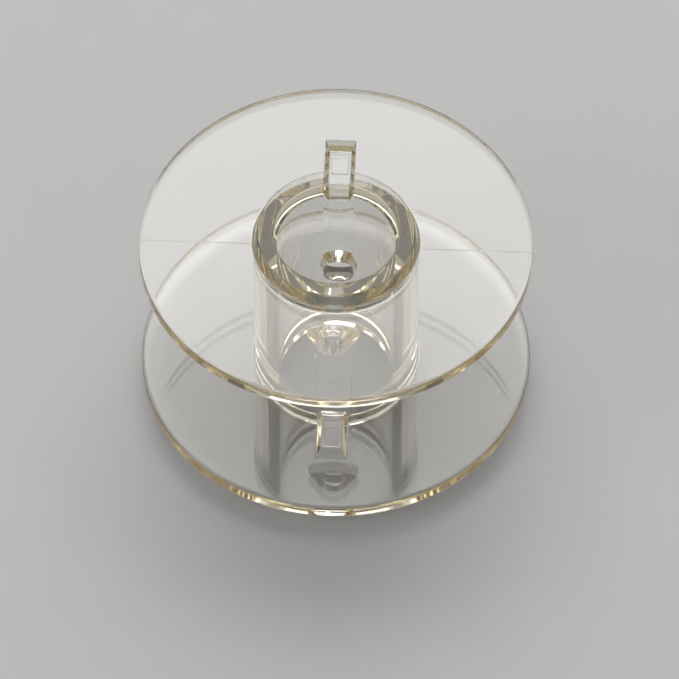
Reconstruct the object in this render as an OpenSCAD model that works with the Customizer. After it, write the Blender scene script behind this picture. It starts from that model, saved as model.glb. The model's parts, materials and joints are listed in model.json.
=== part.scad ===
// Drop-in sewing machine bobbin in clear plastic.
// A barrel carries two flat flanges. The barrel's ends pass through the flanges and stand proud
// of them as collars, and a key slot runs from the bore across each collar into its flange.
// Millimetres, +Z along the bore, origin where the axis meets the lower collar's end.
// The upper and lower halves match: one becomes the other by half a turn about the X direction.

/* [Barrel] */
// Length of the barrel from one collar's end to the other
barrel_length = 11.7; // [11:0.1:14]
// Diameter of the barrel where the thread is wound on
barrel_diameter = 8.6; // [8.2:0.1:10]
// Diameter of the bore that takes the spindle
bore_diameter = 6.15; // [5.4:0.05:6.3]
// Diameter of the wider lead-in at each end of the bore
lead_in_diameter = 6.48; // [6.3:0.02:7]
// Depth of the lead-in
lead_in_depth = 0.8; // [0.5:0.05:1.1]
// Height that each collar stands proud of its flange
collar_height = 0.7; // [0.4:0.05:1.2]
// How much smaller in radius a collar is at its end than at its foot
collar_taper = 0.2; // [0.05:0.05:0.35]
// Radius of the fillet round a collar's foot, where it stands on its flange
collar_fillet = 0.1; // [0.04:0.01:0.15]
// Width of the small bevels on the collar's edges
collar_bevel = 0.08; // [0.04:0.01:0.12]
// Radius of the fillet that flares the barrel out to the shoulder under each flange
shoulder_fillet = 0.3; // [0.1:0.05:0.6]

/* [Flanges] */
// Diameter of both flanges
flange_diameter = 20.5; // [19:0.1:24]
// Thickness of each flange
flange_thickness = 0.8; // [0.7:0.05:1.2]
// Radius of the rounding round a flange's rim
rim_radius = 0.3; // [0.1:0.05:0.34]
// Radial clearance between a flange and the barrel's neck, where the two are welded
neck_clearance = 0; // [0:0.01:0.05]

/* [Key slots] */
// Width of a key slot at its mouth
key_width = 1.6; // [1.2:0.1:2.2]
// Distance from the axis to a key slot's outer end, at its mouth
key_reach = 6.75; // [6.2:0.05:8]
// Depth of a key slot below the flange's outer face
key_depth = 0.55; // [0.3:0.05:0.6]
// How far a key slot's side walls lean in from its mouth to its floor
key_side_lean = 0.24; // [0.1:0.02:0.26]
// How far a key slot's end wall leans in from its mouth to its floor
key_end_lean = 0.42; // [0.2:0.02:0.6]
// Width of the raised pad on a key slot's floor
pad_width = 0.9; // [0.4:0.05:0.95]
// Length of the pad along the slot
pad_length = 1.3; // [0.8:0.05:1.4]
// Height of the pad
pad_height = 0.06; // [0.04:0.01:0.1]
// Radius of the pad's corners
pad_corner = 0.16; // [0.1:0.02:0.18]
// Distance from the pad to the outer end of the slot's floor
pad_setback = 0.2; // [0.1:0.05:0.3]
// Depth of the shallow guide groove that runs down the bore's wall from a key slot
groove_depth = 0.05; // [0.02:0.01:0.08]

/* [Thread holes] */
// Diameter of a thread hole through the barrel's wall
thread_hole_diameter = 1.6; // [1:0.1:2]
// Height of the upper thread hole above the barrel's middle, and of the lower one below it
thread_hole_offset = 1.45; // [1.2:0.05:1.9]
// Width of the bevels that keep a thread hole's two edges from cutting the thread
thread_hole_bevel = 0.12; // [0.05:0.01:0.2]

/* [Hidden] */
$fn = 96;
clear_plastic = [0.86, 0.86, 0.8, 0.45];
overcut = 1;
pad_root = 0.1;
barrel_radius = barrel_diameter / 2;
bore_radius = bore_diameter / 2;
lead_in_radius = max(lead_in_diameter, bore_diameter) / 2;
flange_radius = flange_diameter / 2;
neck_radius = barrel_radius;
shoulder_radius = barrel_radius + shoulder_fillet;
middle_z = barrel_length / 2;
flange_outer_z = barrel_length - collar_height;
flange_inner_z = flange_outer_z - flange_thickness;
key_floor_z = flange_outer_z - key_depth;
key_floor_reach = key_reach - key_end_lean;
pad_centre_y = key_floor_reach - pad_setback - pad_length / 2;

// Turns an upper piece into its lower twin.
module turned_over() {
    translate([0, 0, barrel_length]) rotate([180, 0, 0]) children();
}

// The upper end of the barrel's section, from its middle up: wall, shoulder, neck and collar.
module barrel_end_section() {
    lead_in_z = barrel_length - lead_in_depth;
    translate([bore_radius, middle_z]) square([barrel_radius - bore_radius, lead_in_z - middle_z]);
    // the flare under the flange, and the fillet on top of it round the collar's foot
    difference() {
        translate([barrel_radius, flange_inner_z - shoulder_fillet]) square(shoulder_fillet);
        translate([shoulder_radius, flange_inner_z - shoulder_fillet]) circle(shoulder_fillet);
    }
    difference() {
        translate([neck_radius - collar_fillet, flange_outer_z]) square([2 * collar_fillet, collar_fillet]);
        translate([neck_radius + collar_fillet, flange_outer_z + collar_fillet]) circle(collar_fillet);
    }
    collar_end_radius = neck_radius - collar_taper;
    polygon([
        [lead_in_radius, lead_in_z],
        [neck_radius, lead_in_z],
        [neck_radius, flange_outer_z],
        [collar_end_radius, barrel_length - collar_bevel],
        [collar_end_radius - collar_bevel, barrel_length],
        [lead_in_radius + collar_bevel, barrel_length],
        [lead_in_radius, barrel_length - collar_bevel]
    ]);
}

// A key slot in the upper end. Below the flange's face its walls lean in towards its floor.
module key_slot() {
    mouth_half = key_width / 2;
    floor_half = mouth_half - key_side_lean;
    top_z = barrel_length + overcut;
    intersection() {
        // across the slot
        translate([0, key_reach + overcut, 0]) rotate([90, 0, 0]) linear_extrude(key_reach + overcut)
            polygon([
                [-floor_half, key_floor_z],
                [floor_half, key_floor_z],
                [mouth_half, flange_outer_z],
                [mouth_half, top_z],
                [-mouth_half, top_z],
                [-mouth_half, flange_outer_z]
            ]);
        // along the slot, from the axis to its outer end
        rotate([90, 0, 90]) translate([0, 0, -key_width]) linear_extrude(2 * key_width)
            polygon([
                [0, key_floor_z],
                [key_floor_reach, key_floor_z],
                [key_reach, flange_outer_z],
                [key_reach, top_z],
                [0, top_z]
            ]);
    }
}

// The low pad on the slot's floor, with round corners and rooted in the flange.
module key_pad() {
    inner_width = pad_width - 2 * pad_corner;
    inner_length = pad_length - 2 * pad_corner;
    translate([0, pad_centre_y, key_floor_z - pad_root]) linear_extrude(pad_root + pad_height) union() {
        square([pad_width, inner_length], center = true);
        square([inner_width, pad_length], center = true);
        for (x = [-1, 1], y = [-1, 1])
            translate([x * inner_width / 2, y * inner_length / 2]) circle(pad_corner);
    }
}

// One flange, in the upper place.
module flange() {
    seat_radius = neck_radius + neck_clearance;
    edge_z = flange_thickness - 2 * rim_radius;
    difference() {
        translate([0, 0, flange_inner_z]) rotate_extrude() union() {
            translate([seat_radius, 0])
                square([flange_radius - rim_radius - seat_radius, flange_thickness]);
            translate([seat_radius, rim_radius]) square([flange_radius - seat_radius, edge_z]);
            for (z = [rim_radius, flange_thickness - rim_radius])
                translate([flange_radius - rim_radius, z]) circle(rim_radius);
        }
        key_slot();
    }
    key_pad();
}

// The groove down the bore's wall, from the upper key slot to the thread hole on the same side.
module guide_groove() {
    foot_z = middle_z - thread_hole_offset;
    translate([-key_width / 2, 0, foot_z])
        cube([key_width, bore_radius + groove_depth, barrel_length - lead_in_depth - foot_z]);
}

// A hole through the front wall of the barrel, above the middle, with its edges bevelled.
module thread_hole() {
    hole_radius = thread_hole_diameter / 2;
    translate([0, 0, middle_z + thread_hole_offset]) rotate([90, 0, 0]) {
        cylinder(h = shoulder_radius + overcut, r = hole_radius);
        translate([0, 0, bore_radius - overcut + thread_hole_bevel])
            cylinder(h = overcut, r1 = hole_radius + overcut, r2 = hole_radius);
        translate([0, 0, barrel_radius - thread_hole_bevel])
            cylinder(h = overcut, r1 = hole_radius, r2 = hole_radius + overcut);
    }
}

module barrel() {
    color(clear_plastic) difference() {
        rotate_extrude() union() {
            barrel_end_section();
            translate([0, barrel_length]) mirror([0, 1]) barrel_end_section();
        }
        key_slot();
        turned_over() key_slot();
        guide_groove();
        turned_over() guide_groove();
        thread_hole();
        turned_over() thread_hole();
    }
}

module upper_flange() {
    color(clear_plastic) flange();
}

module lower_flange() {
    color(clear_plastic) turned_over() flange();
}

barrel();
upper_flange();
lower_flange();
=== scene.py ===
import json
import math

import bpy
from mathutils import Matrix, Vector


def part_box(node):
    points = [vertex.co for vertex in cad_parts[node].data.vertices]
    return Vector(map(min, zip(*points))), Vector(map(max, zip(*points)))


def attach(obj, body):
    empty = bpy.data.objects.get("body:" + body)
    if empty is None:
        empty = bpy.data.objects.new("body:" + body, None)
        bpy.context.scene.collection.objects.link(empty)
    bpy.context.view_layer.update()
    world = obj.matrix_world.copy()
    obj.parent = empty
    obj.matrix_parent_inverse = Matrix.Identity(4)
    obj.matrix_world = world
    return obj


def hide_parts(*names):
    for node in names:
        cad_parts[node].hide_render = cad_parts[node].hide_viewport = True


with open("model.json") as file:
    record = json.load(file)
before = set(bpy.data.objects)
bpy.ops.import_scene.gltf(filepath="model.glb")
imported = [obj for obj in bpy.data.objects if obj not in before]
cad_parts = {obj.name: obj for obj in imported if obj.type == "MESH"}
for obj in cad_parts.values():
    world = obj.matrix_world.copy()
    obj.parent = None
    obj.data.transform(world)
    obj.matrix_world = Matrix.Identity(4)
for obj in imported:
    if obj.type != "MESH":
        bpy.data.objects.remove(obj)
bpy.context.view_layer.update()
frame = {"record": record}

# A clear drop-in sewing machine bobbin: a turned barrel with a flange welded on at each end.
# The pieces are drawn in millimetres, as on a drawing, and scaled to metres when they are done.
MM = 0.001


def in_mm(value):
    return value / MM


# ---- sizes that the frame gives, in millimetres ----
MOUNTS = {m["name"]: m for m in frame["record"]["mounts"]}
BARREL_LOW, BARREL_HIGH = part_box("barrel")
FLANGE_LOW, FLANGE_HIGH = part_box("upper_flange")
BARREL_LENGTH = in_mm(BARREL_HIGH.z - BARREL_LOW.z)
MIDDLE_Z = BARREL_LENGTH / 2
FLANGE_RADIUS = in_mm(min(FLANGE_HIGH.x, FLANGE_HIGH.y, -FLANGE_LOW.x, -FLANGE_LOW.y))
FLANGE_OUTER_Z = in_mm(FLANGE_HIGH.z)
FLANGE_INNER_Z = in_mm(FLANGE_LOW.z)
BORE_RADIUS = MOUNTS["spindle_bore"]["dims"]["r_mm"]
HOLE_RADIUS = MOUNTS["upper_thread_hole"]["dims"]["r_mm"]
HOLE_Z = in_mm(MOUNTS["upper_thread_hole"]["pos_m"][2])

# ---- the barrel and the rims, in millimetres ----
BARREL_RADIUS = 4.3
SHOULDER_FILLET = 0.12
COLLAR_TAPER = 0.2
COLLAR_EDGE = 0.09
COLLAR_FILLET = 0.15
LEAD_IN_RADIUS = 3.24
LEAD_IN_DEPTH = 0.8
RIM_ROUNDING = 0.2

# ---- the key slots, in millimetres ----
KEY_WIDTH = 1.6
KEY_REACH = 6.69
KEY_DEPTH = 0.55
KEY_SIDE_LEAN = 0.24
KEY_END_LEAN = 0.42
KEY_ROUNDING = 0.06
PAD_WIDTH = 0.9
PAD_LENGTH = 1.3
PAD_HEIGHT = 0.09
PAD_SETBACK = 0.16
PAD_CORNER = 0.16
PAD_CORNER_STEPS = 6
PAD_ROUNDING = 0.06
GROOVE_DEPTH = 0.05

# ---- the thread holes' radii, in millimetres ----
# the front hole widens towards the bore, and the back one towards the thread
FRONT_HOLE_AT_BORE = 1.1
FRONT_HOLE_AT_WALL = HOLE_RADIUS
BACK_HOLE_AT_BORE = 0.77
BACK_HOLE_AT_WALL = 1.15
HOLE_ROUNDING = 0.06
HOLE_SIDES = 96
# rings of the barrel's mesh this far above and below a hole's height keep the shading round it even
HOLE_BAND = 1.4

# ---- how the meshes are made ----
# welded faces run this far into each other, so that no film of air is left between them
WELD = 0.005
SAME_PLACE = WELD / 2
MERGE_DISTANCE = WELD / 10
# a hair's breadth between the lower collar and the floor keeps the two faces apart
FLOOR_GAP = 0.03
OVERCUT = 1.0
TURNS = 360
ARC_STEPS = 8
EDGE_STEPS = 4
SHARP_ANGLE = math.radians(25)


# ---- modelling ----
def select_only(obj):
    bpy.ops.object.select_all(action="DESELECT")
    obj.select_set(True)
    bpy.context.view_layer.objects.active = obj


def select_nothing_in(obj):
    """Clears the selection of the object's corners, edges and faces."""
    select_only(obj)
    bpy.ops.object.mode_set(mode="EDIT")
    bpy.ops.mesh.select_all(action="DESELECT")
    bpy.ops.object.mode_set(mode="OBJECT")


def turn_faces_outwards(obj):
    select_only(obj)
    bpy.ops.object.mode_set(mode="EDIT")
    bpy.ops.mesh.select_all(action="SELECT")
    bpy.ops.mesh.normals_make_consistent(inside=False)
    bpy.ops.object.mode_set(mode="OBJECT")


def outline(name, corners):
    """A closed outline in the XZ plane. Each corner is x, z and the radius that rounds it."""
    bpy.ops.object.select_all(action="DESELECT")
    bpy.ops.mesh.primitive_circle_add(vertices=len(corners), radius=1)
    obj = bpy.context.object
    obj.name = name
    for vertex, (x, z, _) in zip(obj.data.vertices, corners):
        vertex.co = (x, 0, z)
    for x, z, radius in corners:
        if radius > 0:
            round_corner(obj, Vector((x, 0, z)), radius)
    return obj


def round_corner(obj, place, radius):
    """Rounds the one corner of a wire outline that lies at place."""
    select_nothing_in(obj)
    for vertex in obj.data.vertices:
        vertex.select = (vertex.co - place).length < SAME_PLACE
    at = next(v.index for v in obj.data.vertices if v.select)
    arms = [e for e in obj.data.edges if at in e.vertices]
    ends = [obj.data.vertices[e.vertices[0] + e.vertices[1] - at].co - place for e in arms]
    reach = radius / math.tan(ends[0].angle(ends[1]) / 2)
    select_only(obj)
    bpy.ops.object.mode_set(mode="EDIT")
    bpy.ops.mesh.select_mode(type="VERT")
    bpy.ops.mesh.bevel(offset=reach, segments=ARC_STEPS, profile=0.5, affect="VERTICES")
    bpy.ops.object.mode_set(mode="OBJECT")


def turn_on_lathe(obj):
    """Spins an outline round the axis into a closed solid."""
    select_only(obj)
    bpy.ops.object.mode_set(mode="EDIT")
    bpy.ops.mesh.select_all(action="SELECT")
    bpy.ops.mesh.spin(steps=TURNS, angle=math.tau, center=(0, 0, 0), axis=(0, 0, 1))
    bpy.ops.mesh.select_all(action="SELECT")
    bpy.ops.mesh.remove_doubles(threshold=MERGE_DISTANCE)
    bpy.ops.object.mode_set(mode="OBJECT")
    turn_faces_outwards(obj)


def combine(obj, other, operation):
    """Takes another solid out of obj or melts it into obj, and deletes the other."""
    modifier = obj.modifiers.new("combine", "BOOLEAN")
    modifier.operation = operation
    modifier.solver = "EXACT"
    modifier.object = other
    select_only(obj)
    bpy.ops.object.modifier_apply(modifier=modifier.name)
    bpy.data.objects.remove(other)


def cut(obj, cutter):
    combine(obj, cutter, "DIFFERENCE")


def join_solid(obj, addition):
    combine(obj, addition, "UNION")


def turned_over(obj):
    """Turns a cutter or piece of the upper end into its twin at the lower end."""
    middle = Vector((0, 0, MIDDLE_Z))
    for vertex in obj.data.vertices:
        offset = vertex.co - middle
        vertex.co = middle + Vector((offset.x, -offset.y, -offset.z))
    return obj


def block(name, low, high):
    """A box between two corners, with its place in its mesh."""
    bpy.ops.object.select_all(action="DESELECT")
    bpy.ops.mesh.primitive_cube_add(size=1)
    obj = bpy.context.object
    obj.name = name
    low, high = Vector(low), Vector(high)
    for vertex in obj.data.vertices:
        share = vertex.co + Vector((0.5, 0.5, 0.5))
        vertex.co = [low[i] + (high[i] - low[i]) * share[i] for i in range(3)]
    return obj


def round_edges(obj, radius, chosen, segments=EDGE_STEPS):
    """Rounds the edges for whose two ends chosen(end, end) is true."""
    select_nothing_in(obj)
    for edge in obj.data.edges:
        edge.select = chosen(*(obj.data.vertices[i].co for i in edge.vertices))
    select_only(obj)
    bpy.ops.object.mode_set(mode="EDIT")
    bpy.ops.mesh.select_mode(type="EDGE")
    bpy.ops.mesh.bevel(offset=radius, segments=segments)
    bpy.ops.object.mode_set(mode="OBJECT")
    turn_faces_outwards(obj)


def rounded_edge(radius, points):
    """Yields how far down and how far out the points of a rounded edge lie, from its crest."""
    for step in range(points):
        angle = math.pi / 2 * step / ARC_STEPS
        yield radius * (1 - math.cos(angle)), radius * (1 - math.sin(angle))


def stack_rings(obj, count, step):
    """Extrudes a flat face along Z until there are count rings, step apart."""
    bpy.ops.object.mode_set(mode="EDIT")
    for _ in range(count - 1):
        bpy.ops.mesh.extrude_region_move(TRANSFORM_OT_translate={"value": (0, 0, step)})
    bpy.ops.object.mode_set(mode="OBJECT")


def key_slot_cutter(mouth_rounding=0.0):
    """The upper key slot: upright above the flange's face, and leaning in below it."""
    # each ring of the cutter has its height, and how far its side and end walls stand in
    rings = [(BARREL_LENGTH + OVERCUT, 0, 0)]
    if mouth_rounding:
        rings.append((FLANGE_OUTER_Z + 2 * WELD, 0, 0))
        rings.append((FLANGE_OUTER_Z + WELD, -mouth_rounding, -mouth_rounding))
        for sunk, flare in rounded_edge(mouth_rounding, ARC_STEPS):
            share = sunk / KEY_DEPTH
            side_in = share * KEY_SIDE_LEAN - flare
            end_in = share * KEY_END_LEAN - flare
            rings.append((FLANGE_OUTER_Z - sunk, side_in, end_in))
    else:
        rings.append((FLANGE_OUTER_Z, 0, 0))
    rings.append((FLANGE_OUTER_Z - KEY_DEPTH, KEY_SIDE_LEAN, KEY_END_LEAN))
    bpy.ops.object.select_all(action="DESELECT")
    bpy.ops.mesh.primitive_plane_add(size=2)
    cutter = bpy.context.object
    cutter.name = "key_slot"
    stack_rings(cutter, len(rings), -1)
    for vertex in cutter.data.vertices:
        height, side_in, end_in = rings[round(-vertex.co.z)]
        x = math.copysign(KEY_WIDTH / 2 - side_in, vertex.co.x)
        vertex.co = (x, KEY_REACH - end_in if vertex.co.y > 0 else 0, height)
    half_way_down = FLANGE_OUTER_Z - KEY_DEPTH / 2
    round_edges(cutter, KEY_ROUNDING, lambda a, b: max(a.z, b.z) < half_way_down)
    return cutter


def groove_cutter():
    """The shallow groove down the bore, from the upper key slot to the lower thread hole."""
    half = KEY_WIDTH / 2
    low = (-half, 0, BARREL_LENGTH - HOLE_Z)
    high = (half, BORE_RADIUS + GROOVE_DEPTH, BARREL_LENGTH - LEAD_IN_DEPTH)
    return block("groove", low, high)


def thread_hole_cutter(side, height, at_bore, at_wall):
    """A flared pin through the front (-1) or back (1) wall, whose rings follow the wall's curve."""
    wall = BARREL_RADIUS - BORE_RADIUS
    # each ring of the cutter has its distance from the barrel's axis, and its radius
    rings = [(BORE_RADIUS - OVERCUT, at_bore + HOLE_ROUNDING)]
    rings.append((BARREL_RADIUS + OVERCUT, at_wall + HOLE_ROUNDING))
    for sunk, flare in rounded_edge(HOLE_ROUNDING, ARC_STEPS + 1):
        slope = (at_wall - at_bore) * sunk / wall
        rings.append((BORE_RADIUS + sunk, at_bore + slope + flare))
        rings.append((BARREL_RADIUS - sunk, at_wall - slope + flare))
    rings.sort()
    bpy.ops.object.select_all(action="DESELECT")
    bpy.ops.mesh.primitive_circle_add(vertices=HOLE_SIDES, radius=1, fill_type="NGON")
    cutter = bpy.context.object
    cutter.name = "thread_hole"
    stack_rings(cutter, len(rings), 1)
    for vertex in cutter.data.vertices:
        distance, radius = rings[round(vertex.co.z)]
        x = vertex.co.x * radius
        z = vertex.co.y * radius
        vertex.co = (x, side * math.sqrt(distance * distance - x * x), height + z)
    turn_faces_outwards(cutter)
    return cutter


def key_pad():
    """The low pad on the floor of the upper key slot, with round corners."""
    far = KEY_REACH - KEY_END_LEAN - PAD_SETBACK
    floor_z = FLANGE_OUTER_Z - KEY_DEPTH
    half = PAD_WIDTH / 2
    low = (-half, far - PAD_LENGTH, floor_z - PAD_CORNER)
    pad = block("pad", low, (half, far, floor_z + PAD_HEIGHT))
    round_edges(pad, PAD_CORNER, lambda a, b: abs((b - a).z) > PAD_HEIGHT, PAD_CORNER_STEPS)
    round_edges(pad, PAD_ROUNDING, lambda a, b: min(a.z, b.z) > floor_z)
    return pad


def barrel():
    """The tube, with its collars, lead-ins, shoulders, grooves and thread holes."""
    collar_end = BARREL_RADIUS - COLLAR_TAPER
    lead_in_z = BARREL_LENGTH - LEAD_IN_DEPTH
    lean = math.atan2(COLLAR_TAPER, BARREL_LENGTH - FLANGE_OUTER_Z)
    lip = COLLAR_FILLET * math.tan((math.pi / 2 - lean) / 2)
    upper = [
        (BORE_RADIUS, HOLE_Z - HOLE_BAND, 0),
        (BORE_RADIUS, HOLE_Z + HOLE_BAND, 0),
        (BORE_RADIUS, lead_in_z, 0),
        (LEAD_IN_RADIUS, lead_in_z, 0),
        (LEAD_IN_RADIUS, BARREL_LENGTH, COLLAR_EDGE),
        (collar_end, BARREL_LENGTH, COLLAR_EDGE),
        (BARREL_RADIUS, FLANGE_OUTER_Z, COLLAR_FILLET),
        (BARREL_RADIUS + lip, FLANGE_OUTER_Z, 0),
        (BARREL_RADIUS + lip, FLANGE_OUTER_Z - WELD, 0),
        (BARREL_RADIUS, FLANGE_OUTER_Z - WELD, 0),
        (BARREL_RADIUS, FLANGE_INNER_Z + WELD, 0),
        (BARREL_RADIUS + SHOULDER_FILLET, FLANGE_INNER_Z + WELD, 0),
        (BARREL_RADIUS + SHOULDER_FILLET, FLANGE_INNER_Z, 0),
        (BARREL_RADIUS, FLANGE_INNER_Z, SHOULDER_FILLET),
        (BARREL_RADIUS, HOLE_Z + HOLE_BAND, 0),
        (BARREL_RADIUS, HOLE_Z - HOLE_BAND, 0),
    ]
    lower = [(x, BARREL_LENGTH - z, radius) for x, z, radius in reversed(upper)]
    obj = outline("clear_barrel", upper + lower)
    turn_on_lathe(obj)
    for maker in (key_slot_cutter, groove_cutter):
        cut(obj, maker())
        cut(obj, turned_over(maker()))
    cut(obj, thread_hole_cutter(-1, HOLE_Z, FRONT_HOLE_AT_BORE, FRONT_HOLE_AT_WALL))
    cut(obj, thread_hole_cutter(1, BARREL_LENGTH - HOLE_Z, BACK_HOLE_AT_BORE, BACK_HOLE_AT_WALL))
    return obj


def flange(name):
    """One flange, in the upper place."""
    inner = BARREL_RADIUS - WELD
    obj = outline(name, [
        (inner, FLANGE_INNER_Z, 0),
        (FLANGE_RADIUS, FLANGE_INNER_Z, RIM_ROUNDING),
        (FLANGE_RADIUS, FLANGE_OUTER_Z, RIM_ROUNDING),
        (inner, FLANGE_OUTER_Z, 0),
    ])
    turn_on_lathe(obj)
    cut(obj, key_slot_cutter(KEY_ROUNDING))
    join_solid(obj, key_pad())
    return obj


def finish_piece(obj, node, material):
    """Smooths a piece, brings it to metres, and puts it in its CAD node's place."""
    select_only(obj)
    bpy.ops.object.shade_smooth_by_angle(angle=SHARP_ANGLE)
    modifier = obj.modifiers.new("even_shading", "WEIGHTED_NORMAL")
    modifier.keep_sharp = True
    bpy.ops.object.modifier_apply(modifier=modifier.name)
    for vertex in obj.data.vertices:
        vertex.co *= MM
    obj.data.materials.clear()
    obj.data.materials.append(material)
    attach(obj, "root")
    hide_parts(node)


# ---- materials ----
class Value:
    """A shader socket that can be used in sums."""

    def __init__(self, tree, socket):
        self.tree = tree
        self.socket = socket

    def maths(self, operation, other, reflected=False):
        node = self.tree.nodes.new("ShaderNodeMath")
        node.operation = operation
        pair = (other, self) if reflected else (self, other)
        for slot, item in zip(node.inputs, pair):
            if isinstance(item, Value):
                self.tree.links.new(item.socket, slot)
            elif item is not None:
                slot.default_value = item
        return Value(self.tree, node.outputs[0])

    def __add__(self, other):
        return self.maths("ADD", other)

    __radd__ = __add__

    def __sub__(self, other):
        return self.maths("SUBTRACT", other)

    def __rsub__(self, other):
        return self.maths("SUBTRACT", other, reflected=True)

    def __mul__(self, other):
        return self.maths("MULTIPLY", other)

    __rmul__ = __mul__

    def __truediv__(self, other):
        return self.maths("DIVIDE", other)

    def below(self, limit):
        return self.maths("LESS_THAN", limit)

    def above(self, limit):
        return self.maths("GREATER_THAN", limit)

    def at_least(self, floor):
        return self.maths("MAXIMUM", floor)

    def size(self):
        return self.maths("ABSOLUTE", None)


class Material:
    """A node material that is put together one call at a time."""

    def __init__(self, name):
        self.material = bpy.data.materials.new(name)
        self.material.use_nodes = True
        self.tree = self.material.node_tree
        self.tree.nodes.clear()

    def node(self, kind, settings=None, **inputs):
        node = self.tree.nodes.new("ShaderNode" + kind)
        for key, value in (settings or {}).items():
            setattr(node, key, value)
        for key, value in inputs.items():
            self.feed(node.inputs[key.replace("_", " ")], value)
        return node

    def feed(self, socket, value):
        if isinstance(value, Value):
            self.tree.links.new(value.socket, socket)
        elif isinstance(value, bpy.types.NodeSocket):
            self.tree.links.new(value, socket)
        else:
            socket.default_value = value

    def value(self, node, output=0):
        return Value(self.tree, node.outputs[output])


def moulded_relief(m, place):
    """Height of the marks that moulding leaves: draw marks, waviness, a hairline and specks."""
    # fine marks along the draw of the mould, and a slow waviness
    along_draw = m.node("Mapping", Vector=place, Scale=(9000, 9000, 700)).outputs[0]
    draw = m.value(m.node("TexNoise", Vector=along_draw, Scale=1.0, Detail=2.0))
    wave = m.value(m.node("TexNoise", Vector=place, Scale=260.0, Detail=1.0))
    # the hairline where the two halves of the mould met, on the faces towards the thread
    hairline_half = 0.045 * MM
    past_the_face = 0.05
    axes = m.node("SeparateXYZ", Vector=place)
    across = m.value(axes, "Y").size()
    height = (m.value(axes, "Z") - MIDDLE_Z * MM).size()
    winding_space = height.below((FLANGE_INNER_Z - MIDDLE_Z + past_the_face) * MM)
    hairline = (1 - across / hairline_half).at_least(0) * winding_space
    # a few tiny bubbles and specks of dust
    speck_size = 0.03
    cell = m.value(m.node("TexVoronoi", Vector=place, Scale=700.0))
    specks = (1 - cell / speck_size).at_least(0)
    draw_height = 0.05
    wave_height = 1.0
    hairline_height = 5.0
    speck_height = 8.0
    return draw * draw_height + wave * wave_height + hairline * hairline_height + specks * speck_height


def scuffed_gloss(m, place):
    """Roughness of a polished face with a few patches of handling scuffs."""
    polished = 0.01
    scuff_start = 0.6
    scuff_strength = 0.25
    scuff = m.value(m.node("TexNoise", Vector=place, Scale=900.0, Detail=5.0, Roughness=0.65))
    return polished + scuff.above(scuff_start) * (scuff - scuff_start) * scuff_strength


def clear_plastic():
    """Polished clear plastic, faintly yellow in depth, with fine draw marks and handling scuffs."""
    m = Material("clear_plastic")
    place = m.node("TexCoord").outputs["Object"]
    bump = m.node("Bump", Height=moulded_relief(m, place), Strength=0.2, Distance=0.00001)
    shader = m.node(
        "BsdfPrincipled",
        Base_Color=(1.0, 1.0, 1.0, 1.0),
        Roughness=scuffed_gloss(m, place),
        IOR=1.55,
        Transmission_Weight=1.0,
        Normal=bump.outputs[0],
    )
    tint = m.node("VolumeAbsorption", Color=(0.93, 0.875, 0.72, 1.0), Density=150.0)
    m.node("OutputMaterial", Surface=shader.outputs[0], Volume=tint.outputs[0])
    return m.material


def floor_material():
    """Pale grey board with a fine grain in its gloss."""
    m = Material("studio_floor")
    place = m.node("TexCoord").outputs["Object"]
    grain = m.value(m.node("TexNoise", Vector=place, Scale=400.0, Detail=3.0))
    smoothest = 0.35
    grain_strength = 0.1
    shader = m.node(
        "BsdfPrincipled",
        Base_Color=(0.62, 0.62, 0.61, 1.0),
        Roughness=smoothest + grain * grain_strength,
    )
    m.node("OutputMaterial", Surface=shader.outputs[0])
    return m.material


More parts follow.
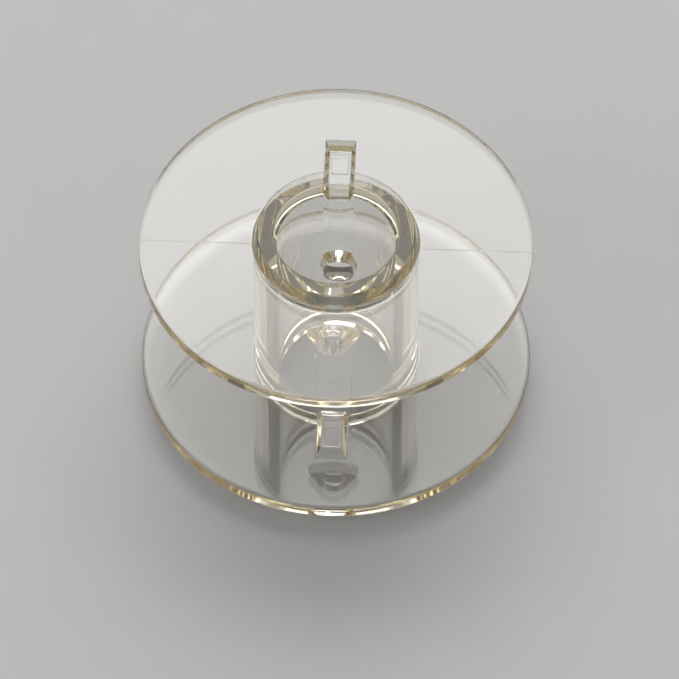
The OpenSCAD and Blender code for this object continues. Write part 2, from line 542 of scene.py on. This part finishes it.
# ---- the studio ----
def camera():
    """Looks down on the bobbin from the front, turned a little to its right."""
    rise = math.radians(52.7)
    azimuth = math.radians(2.3)
    distance = 0.4
    pixels_per_metre = 19100
    frame_side = 679
    centre_x = 336.0
    centre_y = 301.4
    sensor = 36.0
    near_limit = 0.01
    target = Vector((0, 0, MIDDLE_Z * MM))
    level = math.cos(rise)
    back = Vector((math.sin(azimuth) * level, -math.cos(azimuth) * level, math.sin(rise)))
    data = bpy.data.cameras.new("camera")
    data.sensor_width = sensor
    data.lens = pixels_per_metre * distance / frame_side * sensor
    data.shift_x = (frame_side / 2 - centre_x) / frame_side
    data.shift_y = (centre_y - frame_side / 2) / frame_side
    data.clip_start = near_limit
    obj = bpy.data.objects.new("camera", data)
    bpy.context.scene.collection.objects.link(obj)
    obj.location = target + back * distance
    obj.rotation_mode = "QUATERNION"
    obj.rotation_quaternion = (-back).to_track_quat("-Z", "Y")
    bpy.context.scene.camera = obj


def soft_box(name, place, size, power):
    """A rectangular area light that points at the bobbin."""
    data = bpy.data.lights.new(name, "AREA")
    data.shape = "RECTANGLE"
    data.size, data.size_y = size
    data.energy = power
    obj = bpy.data.objects.new(name, data)
    bpy.context.scene.collection.objects.link(obj)
    obj.location = place
    obj.rotation_mode = "QUATERNION"
    obj.rotation_quaternion = (-Vector(place)).to_track_quat("-Z", "Y")


def studio():
    """The pale floor, the grey surroundings and two soft boxes, in metres and watts."""
    floor_side = 3
    surround_grey = 0.5
    surround_strength = 0.7
    bpy.ops.object.select_all(action="DESELECT")
    bpy.ops.mesh.primitive_plane_add(size=floor_side, location=(0, 0, -FLOOR_GAP * MM))
    floor = bpy.context.object
    floor.name = "floor"
    floor.data.materials.append(floor_material())
    world = bpy.data.worlds.new("world")
    bpy.context.scene.world = world
    world.use_nodes = True
    background = world.node_tree.nodes["Background"]
    background.inputs["Color"].default_value = (surround_grey, surround_grey, surround_grey, 1)
    background.inputs["Strength"].default_value = surround_strength
    soft_box("overhead", place=(0.0, 0.30, 0.39), size=(0.52, 0.33), power=1.2)
    soft_box("left", place=(-0.40, -0.16, 0.30), size=(0.2, 0.2), power=0.25)
    bpy.context.scene.view_settings.view_transform = "Standard"


def deep_plastic():
    """Lets light run on inside the plastic, where it is reflected many times from face to face."""
    bounces = 48
    cycles = bpy.context.scene.cycles
    cycles.max_bounces = bounces
    cycles.glossy_bounces = bounces
    cycles.transmission_bounces = bounces


deep_plastic()
camera()
plastic = clear_plastic()
finish_piece(barrel(), "barrel", plastic)
finish_piece(flange("clear_upper_flange"), "upper_flange", plastic)
finish_piece(turned_over(flange("clear_lower_flange")), "lower_flange", plastic)
studio()
